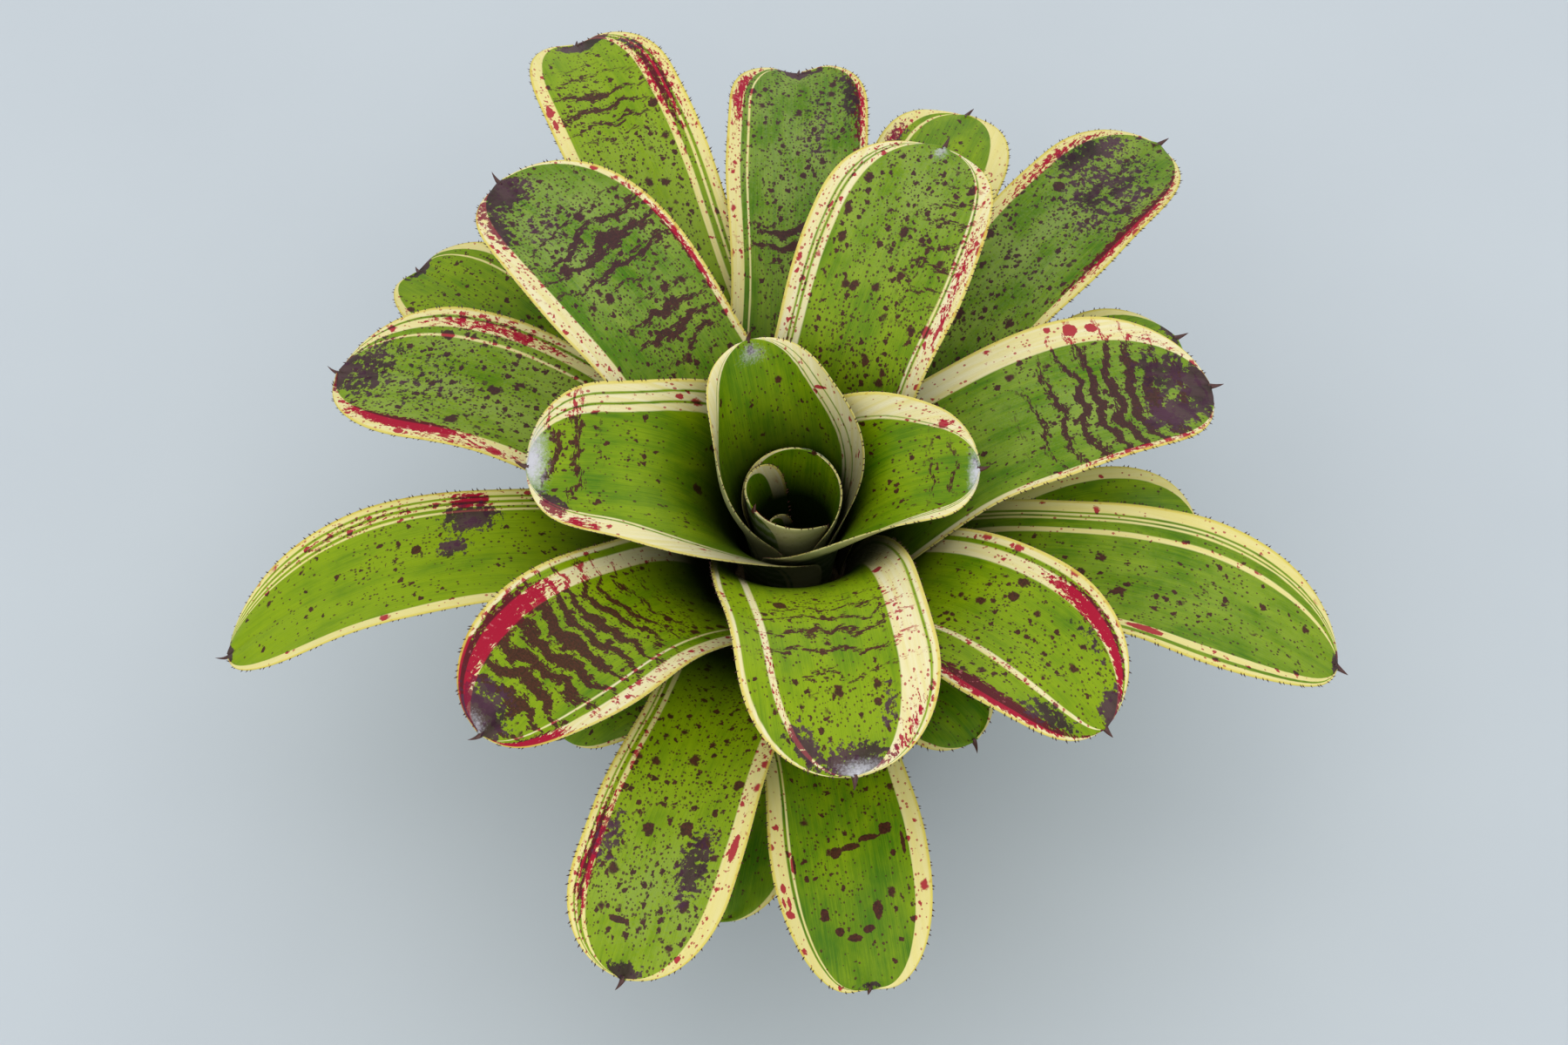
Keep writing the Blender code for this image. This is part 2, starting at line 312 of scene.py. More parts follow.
def make_pot():
    """The cup, turned from its outline, and six holes cut in its floor."""
    rim = POT_TOP_RADIUS + RIM_WIDTH
    low = POT_HEIGHT - RIM_DROP
    outline = [(4, 1.2), (22, 1.2), (38, 1.2), (39.2, 0.9), (40, 0.2), (41, 0), (44, 0)]
    outline += [(44.7, 0.3)]
    outline += [(pot_radius(z), z) for z in np.linspace(1.2, low - 1, 24)]
    outline += [(pot_radius(low) + 0.3, low - 0.3), (rim - 0.5, low), (rim - 0.1, low + 0.4)]
    outline += [(rim, low + 1.2), (rim + 0.1, low + 4), (rim, 88.6)]
    outline += [(rim - 0.3, 89.4), (rim - 0.9, 89.9), (rim - 1.6, 90), (58.3, 90)]
    outline += [(57.7, 89.8), (57.5, 89.2)]
    outline += [(pot_radius(z) - POT_WALL, z) for z in np.linspace(86, 3, 16)]
    outline += [(43.2, 2.1), (42.4, 1.9), (22, 1.9), (4, 1.9)]
    sides = 190  # no edge of the floor then passes through the middle of a hole
    points = turned_points(outline, sides)
    faces = capped_faces(len(outline), sides)
    pot = add_mesh("nursery_pot", points.reshape(-1, 3) * MM, faces, [pot_plastic()])
    for index in range(DRAIN_HOLES):
        angle = math.radians(360 / DRAIN_HOLES * (index + 0.5))
        spot = np.array([DRAIN_CIRCLE * math.cos(angle), DRAIN_CIRCLE * math.sin(angle), POT_WALL])
        bpy.ops.mesh.primitive_cylinder_add(
            vertices=40, radius=DRAIN_RADIUS * MM, depth=4 * POT_WALL * MM, location=spot * MM
        )
        cutter = bpy.context.object
        cut = pot.modifiers.new(f"drain_{index + 1}", "BOOLEAN")
        cut.operation, cut.object = "DIFFERENCE", cutter
        bpy.context.view_layer.objects.active = pot
        bpy.ops.object.modifier_apply(modifier=cut.name)
        bpy.data.objects.remove(cutter, do_unlink=True)
    pot.data.set_sharp_from_angle(angle=math.radians(50))
    return pot


pot = make_pot()
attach(pot, "root")
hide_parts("pot")
print("pot faces:", len(pot.data.polygons))

# %% [markdown]
# ## Potting mix and stem
# The mix is composted bark with a little perlite, pressed level and a bit higher in the
# middle. The stem is a short woody dome, ringed with the scars of old leaves. Both hide
# under the rosette, but they show from the side, so both are real lumpy surfaces.

# %% Mix and stem


def earth_finish(name, dark, light, pale, scale):
    """Crumbs of two browns with pale grains, rough all over."""
    f = Finish(name)
    place = f.place()
    grain, shade = f.cells(place, scale)
    tint = f.split(shade)
    colour = f.mix(tint[0], linear(*dark), linear(*light))
    colour = f.mix(f.mul(f.step(tint[1], 0.88, 0.93), 0.8), colour, linear(*pale))
    f.set("Base Color", f.mix(f.mul(f.noise(place, scale * 3, 4), 0.4), colour, linear(20, 14, 9)))
    f.set("Roughness", 0.92)
    f.bump(f.add(grain, f.noise(place, scale * 4, 4)), 0.7, 0.0008)
    return f.material


def lumps(x, y, size, seed):
    """Smooth pseudo-random height from -1 to 1: a sum of sines in scattered directions."""
    total = 0
    for k in range(9):
        turn = 2.4 * k + seed
        wave = (1 + 0.37 * k) / size
        total = total + np.sin(wave * (x * math.cos(turn) + y * math.sin(turn)) + 1.7 * k * seed)
    return total / 5


def make_mix():
    """The plug of mix: side, lumpy top and the socket that the stem's foot stands in."""
    outline = [(0.4, 1.95), (42.2, 1.95)]
    outline += [(pot_radius(z) - 1.9, z) for z in np.linspace(3.5, 75, 14)]
    outline += [(54.6, 76.3), (53.6, 77)]
    first_top = len(outline)
    inward = np.linspace(52, 12.4, 30)
    crown = 77.2 + 2.3 * ease((48 - inward) / 30) * ease((inward - 12) / 8)
    outline += [*zip(inward, crown), (12.4, 70), (12.4, 57.6)]
    sides = 160
    points = turned_points(outline, sides)
    top = points[first_top:]
    x, y = top[..., 0], top[..., 1]
    lift = lumps(x, y, 2.2, 1.3) + 0.7 * lumps(x, y, 0.9, 4.1)
    out = np.hypot(x, y)
    edge = ease((54 - out) / 4) * ease((out - 12.4) / 5) * (0.3 + 0.7 * ease((out - 32) / 8))
    top[..., 2] += 0.9 * lift * edge
    faces = capped_faces(len(outline), sides)
    skin = earth_finish("mix_crumbs", (38, 26, 17), (72, 48, 30), (120, 100, 78), 420)
    return add_mesh("bark_mix", points.reshape(-1, 3) * MM, faces, [skin])


def make_stem():
    """The dome that carries the leaves, with leaf scars as low steps round it."""
    outline = [(0.3, 58), (10.5, 58), (11.8, 59), (12, 61), (12, 76), (13, 79), (18, 80)]
    outline += [(26, 80.6), (32, 81.2), (36, 81.8), (39, 82.6)]
    for turn in np.linspace(90, 1, 60):
        scar = 0.5 * abs(math.sin(math.radians(turn * 12)))
        radius = (40.6 - scar) * math.sin(math.radians(turn))
        outline.append((radius, 84 + (34.6 - scar) * math.cos(math.radians(turn))))
    sides = 128
    points = turned_points(outline, sides)
    bulge = 1 + 0.008 * lumps(points[..., 0], points[..., 2], 6, 2.2)
    points[..., :2] *= bulge[..., None]
    faces = capped_faces(len(outline), sides)
    skin = earth_finish("stem_bark", (58, 44, 24), (104, 82, 46), (140, 124, 84), 240)
    return add_mesh("ringed_stem", points.reshape(-1, 3) * MM, faces, [skin])


EARTH = ((make_mix(), "potting_mix", "potting_mix"), (make_stem(), "stem", "stem_bark"))
for made, node, slot in EARTH:
    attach(made, "root")
    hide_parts(node)
    print(made.name, "faces:", len(made.data.polygons))

# %% [markdown]
# ## The shape of a leaf
# A leaf starts as a sheath rolled round the heart and opens into a long trough with a round
# tip. Its midrib is a curve in an upright plane. Across it, every section is an arc: level
# and centred on the plant at the base, then leaning over until it stands square to the
# midrib. That is how the real leaf unrolls as it grows out of the funnel.

# %% Leaf table
Leaf = namedtuple(
    "Leaf",
    "name azimuth reach tip_z width rise droop sway tilt curl lift hook wrap sheath waist "
    "closed open start end blunt",
    defaults=(0, 0, 87, 0.45, 0.33, 62, 1.15, 0.88, 0.15, 0.60, 0.0, 0.5, 0.75),
)
HEART_SHAPE = dict(sheath=1.1, waist=1, closed=0.4, open=1.8)
CUP_SHAPE = dict(waist=1, closed=0.35, open=0.9, wrap=130)
LEAVES = [
    Leaf("heart_leaf_1", 190, 9, 150, 42, 88, 92, curl=14, wrap=115, blunt=0.3, **HEART_SHAPE),
    Leaf("heart_leaf_2", 215, 17, 178, 84, 86, 86, curl=20, wrap=125, blunt=0.28, **HEART_SHAPE),
    Leaf("heart_leaf_3", 62, 19, 178, 84, 87, 86, curl=22, wrap=135, blunt=0.25, **HEART_SHAPE),
    Leaf("cup_leaf_back", 111, 44, 216, 80, 86, 56, curl=27, lift=0.50, hook=0.28,
         wrap=165, sheath=1.55, waist=1, closed=0.35, open=0.95, start=0.45, end=0.85,
         blunt=0.65),
    Leaf("cup_leaf_right", 356, 70, 198, 60, 86, 12, tilt=8, curl=34, lift=0.62, hook=0.36,
         sheath=1.75, start=0.50, end=0.88, blunt=0.55, **CUP_SHAPE),
    Leaf("cup_leaf_left", 183, 98, 200, 68, 86, 5, tilt=-12, curl=50, lift=0.58, hook=0.46,
         sheath=1.65, start=0.43, end=0.80, blunt=0.50, **CUP_SHAPE),
    Leaf("inner_leaf_1", 65, 140, 226, 70, 80, -5, lift=0.48, blunt=0.65),
    Leaf("inner_leaf_2", 279, 140, 203, 73, 84, -30, lift=0.34, hook=0.52, wrap=90,
         sheath=1.25, waist=1.05, closed=0.25, open=0.80, blunt=0.60),
    Leaf("inner_leaf_3", 133, 166, 212, 68, 75, -5, sway=4),
    Leaf("inner_leaf_4", 15, 166, 185, 70, 73, -10, sway=-5, waist=0.95, blunt=0.70),
    Leaf("inner_leaf_5", 226, 158, 190, 70, 71, -20, waist=0.95),
    Leaf("inner_leaf_6", 315, 157, 190, 68, 69, -20, sway=-5, waist=1),
    Leaf("middle_leaf_1", 162, 184, 175, 66, 67, -10, sway=6, blunt=0.65),
    Leaf("middle_leaf_2", 89, 206, 186, 57, 65, -20, blunt=0.60),
    Leaf("middle_leaf_3", 48, 222, 184, 55, 63, -10),
    Leaf("middle_leaf_4", 253, 201, 156, 58, 60, -25, blunt=0.65),
    Leaf("middle_leaf_5", 345, 213, 140, 64, 58, -30, sway=-4, blunt=1.1),
    Leaf("middle_leaf_6", 190, 220, 120, 58, 56, -35, sway=7, wrap=56, blunt=1.5),
    Leaf("middle_leaf_7", 112, 240, 183, 58, 54, -25),
    Leaf("middle_leaf_8", 278, 199, 150, 57, 52, -20, blunt=0.85),
    Leaf("outer_leaf_1", 141, 198, 155, 54, 50, -20),
    Leaf("outer_leaf_2", 70, 214, 160, 56, 48, -20),
    Leaf("outer_leaf_3", 31, 180, 150, 52, 46, -15),
    Leaf("outer_leaf_4", 311, 105, 126, 52, 44, -30),
    Leaf("outer_leaf_5", 223, 117, 130, 52, 42, -25),
    Leaf("outer_leaf_6", 260, 154, 120, 50, 40, -25),
    Leaf("outer_leaf_7", 8, 163, 118, 52, 38, -30),
]
print("leaves:", len(LEAVES))

# %% Leaf surface
CROWN_RADIUS, CROWN_HEIGHT, CROWN_Z = 42, 36, 84
LEAF_THICK = 1.0
TIP_HALF_WIDTH = 1.5


def leaf_base(rank):
    """Where a leaf grows from the crown's dome: crown radius times sin a, crown z plus
    crown height times cos a, with a from 10 degrees for the innermost leaf to 84."""
    turn = math.radians(10 + 74 * rank / (len(LEAVES) - 1))
    radius = CROWN_RADIUS * math.sin(turn)
    return np.array([radius, CROWN_Z + CROWN_HEIGHT * math.cos(turn)])


def midrib(leaf, rank, shares):
    """Radius, height, slope and whole length: a cubic Bezier curve from crown to tip,
    u^3 P0 + 3u^2 t P1 + 3u t^2 P2 + t^3 P3, read at even steps along its length."""
    start = leaf_base(rank)
    tip = np.array([leaf.reach, leaf.tip_z], float)
    span = np.linalg.norm(tip - start)
    rise, droop = math.radians(leaf.rise), math.radians(leaf.droop)
    near = start + span * leaf.lift * np.array([math.cos(rise), math.sin(rise)])
    far = tip - span * leaf.hook * np.array([math.cos(droop), math.sin(droop)])
    t = np.linspace(0, 1, 200)[:, None]
    u = 1 - t
    curve = u**3 * start + 3 * u**2 * t * near + 3 * u * t**2 * far + t**3 * tip
    pace = 3 * u**2 * (near - start) + 6 * u * t * (far - near) + 3 * t**2 * (tip - far)
    along = np.concatenate([[0], np.cumsum(np.linalg.norm(np.diff(curve, axis=0), axis=1))])
    length = along[-1]
    radius, z, run, climb = (
        np.interp(shares * length, along, values)
        for values in (curve[:, 0], curve[:, 1], pace[:, 0], pace[:, 1])
    )
    return radius, z, np.arctan2(climb, run), length


def half_width(leaf, shares, radius, length):
    """Half the flattened width: blade width times the sheath's and waist's share, times
    sqrt(1 - s^2.3) over the round tip, held below the sheath's wrap round the plant."""
    rounding = leaf.blunt * leaf.width
    into_tip = np.clip((shares * length - (length - rounding)) / rounding, 0, 1)
    tip = np.sqrt(np.clip(1 - into_tip**2.3, 0, 1))
    narrowing = ease((shares - leaf.start) / (leaf.end - leaf.start))
    shape = leaf.sheath + (leaf.waist - leaf.sheath) * narrowing
    shape += (1 - leaf.waist) * ease((shares - 0.42) / 0.3)
    blade = np.maximum(leaf.width / 2 * tip * shape, TIP_HALF_WIDTH)
    wrapped = radius * math.radians(leaf.wrap)
    return (wrapped**-5 + blade**-5) ** (-1 / 5)


def leaf_surface(leaf, rank, shares, across):
    """The middle surface: an arc of the section's bend, side = sin(bend arc) / bend and
    depth = (1 - cos(bend arc)) / bend, leaned over and turned to the leaf's azimuth."""
    radius, z, slope, length = midrib(leaf, rank, shares)
    width = half_width(leaf, shares, radius, length)
    opened = ease((shares - leaf.closed) / (leaf.open - leaf.closed))
    bend = ((1 - opened) / radius + opened / leaf.curl)[:, None]
    lean = (math.pi / 2 + (slope - math.pi / 2) * opened)[:, None]
    arc = across[None, :] * width[:, None]
    side = np.sin(bend * arc) / bend
    depth = (1 - np.cos(bend * arc)) / bend
    tilt = (math.radians(leaf.tilt) * ease((shares - 0.35) / 0.6))[:, None]
    side, depth = (
        side * np.cos(tilt) - depth * np.sin(tilt),
        side * np.sin(tilt) + depth * np.cos(tilt),
    )
    out = radius[:, None] - depth * np.sin(lean)
    height = z[:, None] + depth * np.cos(lean)
    turn = np.radians(leaf.azimuth + leaf.sway * (shares**2 - 1))[:, None]
    x = out * np.cos(turn) - side * np.sin(turn)
    y = out * np.sin(turn) + side * np.cos(turn)
    return np.stack([x, y, height], axis=-1)


def surface_normals(surface):
    """Unit normals on the upper side: the cross product of the two grid directions."""
    normal = np.cross(np.gradient(surface, axis=0), np.gradient(surface, axis=1))
    return normal / np.linalg.norm(normal, axis=-1, keepdims=True)


print("midrib of inner_leaf_1, mm:", round(midrib(LEAVES[6], 6, np.array([0.5]))[3]))

# %% [markdown]
# ## The marks on a leaf
# Each leaf of this plant is marked in its own way. Its green is crossed by cream stripes
# that run its whole length, because each stripe grows from one strip of pale cells at the
# base. The maroon comes later, in flecks, bands and tip blotches, and it turns crimson
# where it falls on cream. So a leaf's marks are a list of stripes and a list of patches.

# %% Marks, heart and inner leaves
# All numbers are in percent.
# cream: (from, to) across the leaf, 0 at its clockwise margin and 100 at the other one.
# patches: (kind, across, along, half width across, half length along, strength), with
# kinds c crimson, p purple, s scurf, m flecks, b bands, g grey bloom that is partly a painted
# sheen, x a single blot.
# tone: (0 deep green to 100 yellow green, darkness of the whole leaf).
Marks = namedtuple("Marks", "cream patches tone")


def percent(cream, patches, tone):
    """A leaf's marks with every number out of 100, turned into shares of 1."""
    patches = [(kind, *(value / 100 for value in values)) for kind, *values in patches]
    return Marks([(low / 100, high / 100) for low, high in cream], patches,
                 tuple(value / 100 for value in tone))


MARKS = {
    "heart_leaf_1": percent([(0, 10), (90, 100)], [("p", 50, 100, 60, 6, 40)], (45, 10)),
    "heart_leaf_2": percent(
        [(0, 10), (66, 100)],
        [("c", 85, 100, 12, 5, 80), ("m", 40, 80, 50, 30, 25)], (45, 10)),
    "heart_leaf_3": percent(
        [(0, 10), (90, 100)],
        [("p", 50, 100, 50, 5, 50), ("m", 50, 80, 50, 30, 20)], (45, 10)),
    "cup_leaf_back": percent(
        [(0, 12), (13.5, 17.5), (19, 20), (87, 100), (83.5, 85.8)],
        [("p", 50, 96.5, 5, 2.2, 95), ("s", 50, 95.5, 16, 5, 60), ("x", 14, 80, 5, 0.8, 90),
         ("c", 8, 88, 12, 8, 30), ("m", 50, 80, 40, 25, 45)], (50, 0)),
    "cup_leaf_right": percent(
        [(0, 8), (9.5, 10.3), (11.8, 12.6), (86, 100), (84, 84.7)],
        [("c", 90, 90, 12, 10, 45), ("s", 42, 100, 42, 3.5, 100), ("p", 62, 100, 25, 3, 70),
         ("m", 60, 82, 40, 25, 50), ("b", 50, 88, 30, 8, 35)], (55, 0)),
    "cup_leaf_left": percent(
        [(0, 5.5), (7.5, 11.5), (13.5, 16.8), (87, 100), (84.5, 85.3)],
        [("s", 42, 100, 42, 5, 110), ("p", 85, 93, 14, 5, 80), ("c", 95, 86, 8, 8, 60),
         ("c", 10, 75, 12, 30, 32), ("m", 50, 82, 50, 25, 50), ("b", 40, 90, 35, 8, 60),
         ("x", 72, 80, 2, 1.2, 100)], (58, 0)),
    "inner_leaf_1": percent(
        [(0, 10.5), (12.5, 13.2), (93, 100), (85.5, 88.5), (90.5, 91.2)],
        [("c", 7, 70, 6, 22, 50), ("c", 92, 90, 9, 12, 40), ("c", 87, 70, 4, 30, 30),
         ("s", 50, 100, 12, 3.5, 80), ("m", 45, 68, 50, 45, 160), ("b", 25, 78, 22, 20, 35),
         ("g", 50, 90, 50, 20, 70), ("p", 78, 93, 14, 5, 40), ("x", 5.5, 60, 1.4, 5, 90)], (62, 0)),
    "inner_leaf_2": percent(
        [(0, 3.5), (15.5, 18.5), (80.5, 94.5), (96.5, 100)],
        [("c", 17, 80, 6, 30, 42), ("c", 90, 92, 8, 10, 50), ("p", 50, 97.5, 50, 5, 80),
         ("p", 20, 93, 12, 7, 75), ("p", 74, 88, 8, 7, 62), ("s", 55, 100, 30, 3, 90),
         ("b", 52, 68, 35, 13, 50), ("m", 50, 78, 50, 35, 75), ("m", 70, 90, 30, 10, 80),
         ("x", 30, 56.5, 3.5, 1.8, 100)], (80, 0)),
    "inner_leaf_3": percent(
        [(0, 4.5), (87, 100)],
        [("c", 4, 66, 3.5, 22, 60), ("x", 3.5, 60, 1.4, 5, 95), ("c", 95, 93, 8, 8, 40),
         ("p", 65, 98, 45, 7, 85), ("p", 85, 90, 12, 8, 75), ("p", 55, 85, 45, 10, 50),
         ("b", 40, 74, 38, 8, 80), ("b", 35, 53, 22, 6, 85), ("m", 50, 72, 50, 40, 150),
         ("g", 50, 82, 50, 30, 80)], (45, 0)),
    "inner_leaf_4": percent(
        [(0, 4.5), (85, 100)],
        [("c", 3, 80, 5, 30, 50), ("c", 90, 90, 8, 10, 45), ("p", 45, 100, 42, 6, 120),
         ("p", 62, 92, 28, 10, 70), ("p", 25, 90, 20, 11, 74), ("b", 38, 80, 38, 15, 110),
         ("m", 50, 70, 50, 30, 60), ("g", 50, 72, 50, 25, 60), ("x", 93, 74.5, 3.5, 1.5, 110),
         ("x", 93, 79, 2.5, 1.4, 110), ("x", 96, 70, 1.5, 0.8, 110)], (50, 0)),
    "inner_leaf_5": percent(
        [(0, 3.5), (8.5, 18.5), (90, 100), (82.5, 83.3)],
        [("c", 12, 80, 10, 18, 75), ("c", 95, 95, 9, 8, 80), ("c", 88, 80, 5, 16, 35),
         ("p", 35, 100, 40, 6, 120), ("p", 35, 94, 35, 6, 70), ("c", 5, 93, 10, 8, 90),
         ("b", 45, 78, 34, 24, 115), ("m", 60, 58, 45, 25, 90),
         ("s", 30, 100, 20, 3, 70)], (75, 5)),
    "inner_leaf_6": percent(
        [(0, 6), (95, 100), (84, 91.5), (30, 32.5)],
        [("c", 89, 84, 7, 20, 74), ("c", 8, 80, 7, 22, 80), ("c", 31, 75, 5, 20, 40),
         ("p", 72, 98, 25, 4, 85), ("p", 20, 90, 14, 8, 72), ("p", 78, 86, 6, 10, 60),
         ("m", 60, 72, 50, 30, 80)], (72, 0)),
}
print("leaves marked:", len(MARKS))

# %% Marks, middle and outer leaves
MARKS |= {
    "middle_leaf_1": percent(
        [(0, 5), (7.5, 13), (18.5, 19.5), (87.5, 100)],
        [("c", 9, 72, 7, 25, 55), ("c", 89, 80, 5, 15, 90), ("c", 95, 62, 5, 20, 50),
         ("p", 55, 100, 50, 3, 110), ("p", 50, 94, 50, 9, 66), ("p", 50, 80, 42, 15, 50),
         ("x", 95, 60, 3, 1.6, 110), ("x", 96, 80, 2, 1.2, 110), ("m", 50, 72, 55, 35, 160),
         ("g", 50, 75, 50, 35, 75)], (70, 4)),
    "middle_leaf_2": percent(
        [(0, 5), (90, 100), (84.5, 85.3)],
        [("c", 93, 88, 6, 12, 64), ("c", 6, 84, 8, 18, 58), ("p", 12, 88, 10, 12, 66),
         ("p", 50, 100, 50, 2.5, 100), ("p", 35, 80, 30, 16, 50), ("b", 45, 55, 30, 3.5, 105),
         ("m", 50, 75, 50, 35, 160), ("g", 50, 78, 50, 30, 80)], (45, 5)),
    "middle_leaf_3": percent(
        [(0, 7), (90, 100)],
        [("c", 8, 78, 6, 25, 66), ("c", 93, 82, 6, 20, 55), ("p", 80, 88, 16, 12, 76),
         ("p", 45, 84, 45, 16, 62), ("m", 50, 72, 50, 35, 150),
         ("g", 50, 70, 50, 30, 80)], (50, 10)),
    "middle_leaf_4": percent(
        [(0, 4), (5.8, 6.6), (10, 12.5), (88, 100)],
        [("x", 93, 72, 2.2, 3, 110), ("c", 93, 62, 5, 6, 40), ("p", 50, 99.5, 30, 2.5, 100),
         ("p", 16, 76, 14, 9, 62), ("p", 72, 77, 15, 12, 68), ("c", 9, 80, 7, 18, 62),
         ("c", 92, 90, 5, 10, 35), ("m", 50, 68, 55, 40, 135), ("x", 60, 70, 5, 2, 80),
         ("x", 35, 90, 8, 0.8, 90), ("g", 60, 85, 40, 12, 60)], (85, 0)),
    "middle_leaf_5": percent(
        [(0, 4), (7.5, 12.5), (92.5, 100), (89.5, 90.3), (86.8, 87.6), (77, 80)],
        [("x", 10, 62, 2.6, 3.4, 120), ("c", 79, 70, 5, 25, 30), ("p", 34, 50, 8, 3.5, 60),
         ("p", 50, 100, 50, 1.5, 100), ("m", 40, 60, 50, 40, 55), ("x", 35, 55, 2, 1, 100),
         ("x", 45, 66, 2, 0.8, 100), ("g", 50, 75, 50, 30, 30)], (55, 0)),
    "middle_leaf_6": percent(
        [(0, 4.5), (7, 8.5), (11.5, 13), (16, 17), (92, 100)],
        [("c", 10, 72, 6, 30, 45), ("p", 22, 50, 14, 6, 85), ("p", 45, 53, 12, 4, 72),
         ("x", 42, 60, 4, 1.2, 90), ("c", 8, 50, 8, 5, 70), ("p", 50, 100, 50, 1.5, 100),
         ("m", 35, 58, 45, 30, 75)], (85, 0)),
    "middle_leaf_7": percent(
        [(0, 7.5), (10.5, 11.8), (16.5, 20.5), (90, 100)],
        [("c", 13, 82, 10, 18, 62), ("c", 5, 82, 6, 20, 45), ("x", 95, 80, 2.5, 1.2, 110),
         ("x", 95, 77, 1.8, 1, 110), ("p", 45, 99, 45, 3, 110), ("p", 12, 92, 10, 5, 60),
         ("b", 60, 80, 30, 8, 60), ("m", 50, 75, 50, 30, 100), ("g", 50, 60, 50, 20, 40)], (85, 0)),
    "middle_leaf_8": percent(
        [(0, 10), (12.5, 13.3), (88.5, 100)],
        [("x", 42, 70, 4, 1.4, 100), ("x", 52, 69, 7, 0.8, 100), ("x", 64, 67.5, 7, 0.8, 100),
         ("x", 76, 66, 5, 1.4, 100), ("x", 85, 70, 1.5, 3, 100), ("x", 28, 83, 3, 1.4, 100),
         ("x", 35, 86.5, 3.5, 1, 100), ("x", 45, 88, 6, 0.8, 100), ("x", 56, 86.5, 4, 1, 100),
         ("x", 63, 83, 3.5, 2, 100), ("x", 14, 72, 1.4, 3, 100), ("x", 5, 77, 2, 1.2, 100),
         ("x", 3, 80, 1.2, 1.2, 100), ("x", 7, 80, 1.2, 1.4, 100), ("x", 5, 82.5, 3, 1, 100),
         ("m", 50, 65, 50, 30, 60), ("p", 50, 100, 30, 2, 80)], (45, 3)),
    "outer_leaf_1": percent(
        [(0, 9), (17, 18), (93, 100)],
        [("p", 40, 100, 60, 2.5, 90), ("m", 50, 70, 50, 35, 80)], (60, 10)),
    "outer_leaf_2": percent(
        [(0, 16), (88, 100), (80, 82)],
        [("c", 90, 85, 10, 10, 50), ("p", 92, 86, 10, 8, 60), ("m", 50, 70, 50, 30, 50)], (60, 0)),
    "outer_leaf_3": percent([(0, 7), (93, 100)], [("p", 50, 100, 50, 3, 80)], (60, 0)),
    "outer_leaf_4": percent([(0, 7), (93, 100)], [("m", 50, 70, 50, 30, 50)], (40, 10)),
    "outer_leaf_5": percent([(0, 5), (95, 100)], [("m", 50, 70, 50, 30, 50)], (50, 10)),
    "outer_leaf_6": percent([(0, 5), (95, 100)], [("m", 40, 80, 40, 15, 90)], (50, 10)),
    "outer_leaf_7": percent([(0, 12), (90, 100)], [("m", 50, 70, 50, 30, 60)], (60, 0)),
}
print("leaves marked:", len(MARKS), "of", len(LEAVES))

# %% [markdown]
# ## Masks for a leaf
# A leaf's finish works in the leaf's own flat coordinates, in millimetres along and across,
# so its flecks stay the same size on every leaf. It could be painted, but a pattern worked
# out from those coordinates stays sharp at any distance. First come the masks: where a
# stripe runs, where a fleck sits, and the noises that fray every edge.

# %% Leaf masks


def stripe_stops(cream, soft=0.006):
    """Ramp stops that are 1 inside each (from, to) stripe and 0 between the stripes."""
    stops = []
    for low, high in sorted(cream):
        if low > 0:
            stops += [(low - soft, 0.0)]
        stops += [(max(low, 0.0), 1.0), (min(high, 1.0), 1.0)]
        if high < 1:
            stops += [(high + soft, 0.0)]
    return stops


def fleck_mask(f, scale, size, amount, flat):
    """Scattered flecks: 1 near random points, kept only where their own random number is
    under the amount, so more of them appear as the amount grows."""
    distance, chance = f.cells(f.stretch(flat, (scale, scale * 0.8, scale)), 1.0)
    random = f.split(chance)
    radius = f.mul(f.add(random[1], 0.35), size)
    inside = f.step(f.math("SUBTRACT", radius, distance), -0.05, 0.05)
    return f.mul(inside, f.step(f.math("SUBTRACT", amount, random[0]), -0.02, 0.02))


# every leaf carries these numbers on its points, three to an attribute
CARRIED = {
    "leaf_place": ("u", "share", "upper"),
    "leaf_stain": ("crimson", "purple", "scurf"),
    "leaf_marks": ("flecks", "bands", "bloom"),
    # dark carries the painted shade of the funnel
    "leaf_tone": ("yellow", "dark", "blot"),
}


def leaf_inputs(f):
    """All that a leaf's colours depend on, by name: the numbers on its points, its flat
    coordinates, and noises on those: streaks, clouds, fine veins, grit and ragged edges."""
    flat = f.carried("leaf_flat")
    at = dict(
        flat=flat,
        streak=f.noise(f.stretch(flat, (0.5, 0.02, 1)), 1.0, 4, 0.6),
        cloud=f.noise(f.stretch(flat, (0.07, 0.035, 1)), 1.0, 4, 0.6),
        fine=f.noise(f.stretch(flat, (2.6, 0.05, 1)), 1.0, 3, 0.6),
        grit=f.noise(flat, 1.1, 4, 0.65),
        ragged=f.noise(flat, 0.40, 5, 0.65),
        dash=f.noise(f.stretch(flat, (0.85, 0.30, 1)), 1.0, 5, 0.7),
        crumb=f.noise(f.stretch(flat, (0.32, 0.80, 1)), 1.0, 5, 0.7),
    )
    for attribute, names in CARRIED.items():
        at |= zip(names, f.split(f.carried(attribute)))
    return SimpleNamespace(**at)


print("stops for inner_leaf_2:", len(stripe_stops(MARKS["inner_leaf_2"].cream)))

# %% [markdown]
# ## Colours of a leaf
# The green runs from deep to yellow in long clouds, because light reaches a leaf unevenly
# while it grows. The maroon is laid in three ways, as the plant lays it: scattered flecks,
# bands that wander across the leaf, and single blots.

# %% Leaf colours
LEAF_STEP = 31.0  # each leaf lies this much further along the third flat coordinate, mm
FIRST_YELLOW, LAST_YELLOW = 9, 15  # leaves between which the cream turns yellow


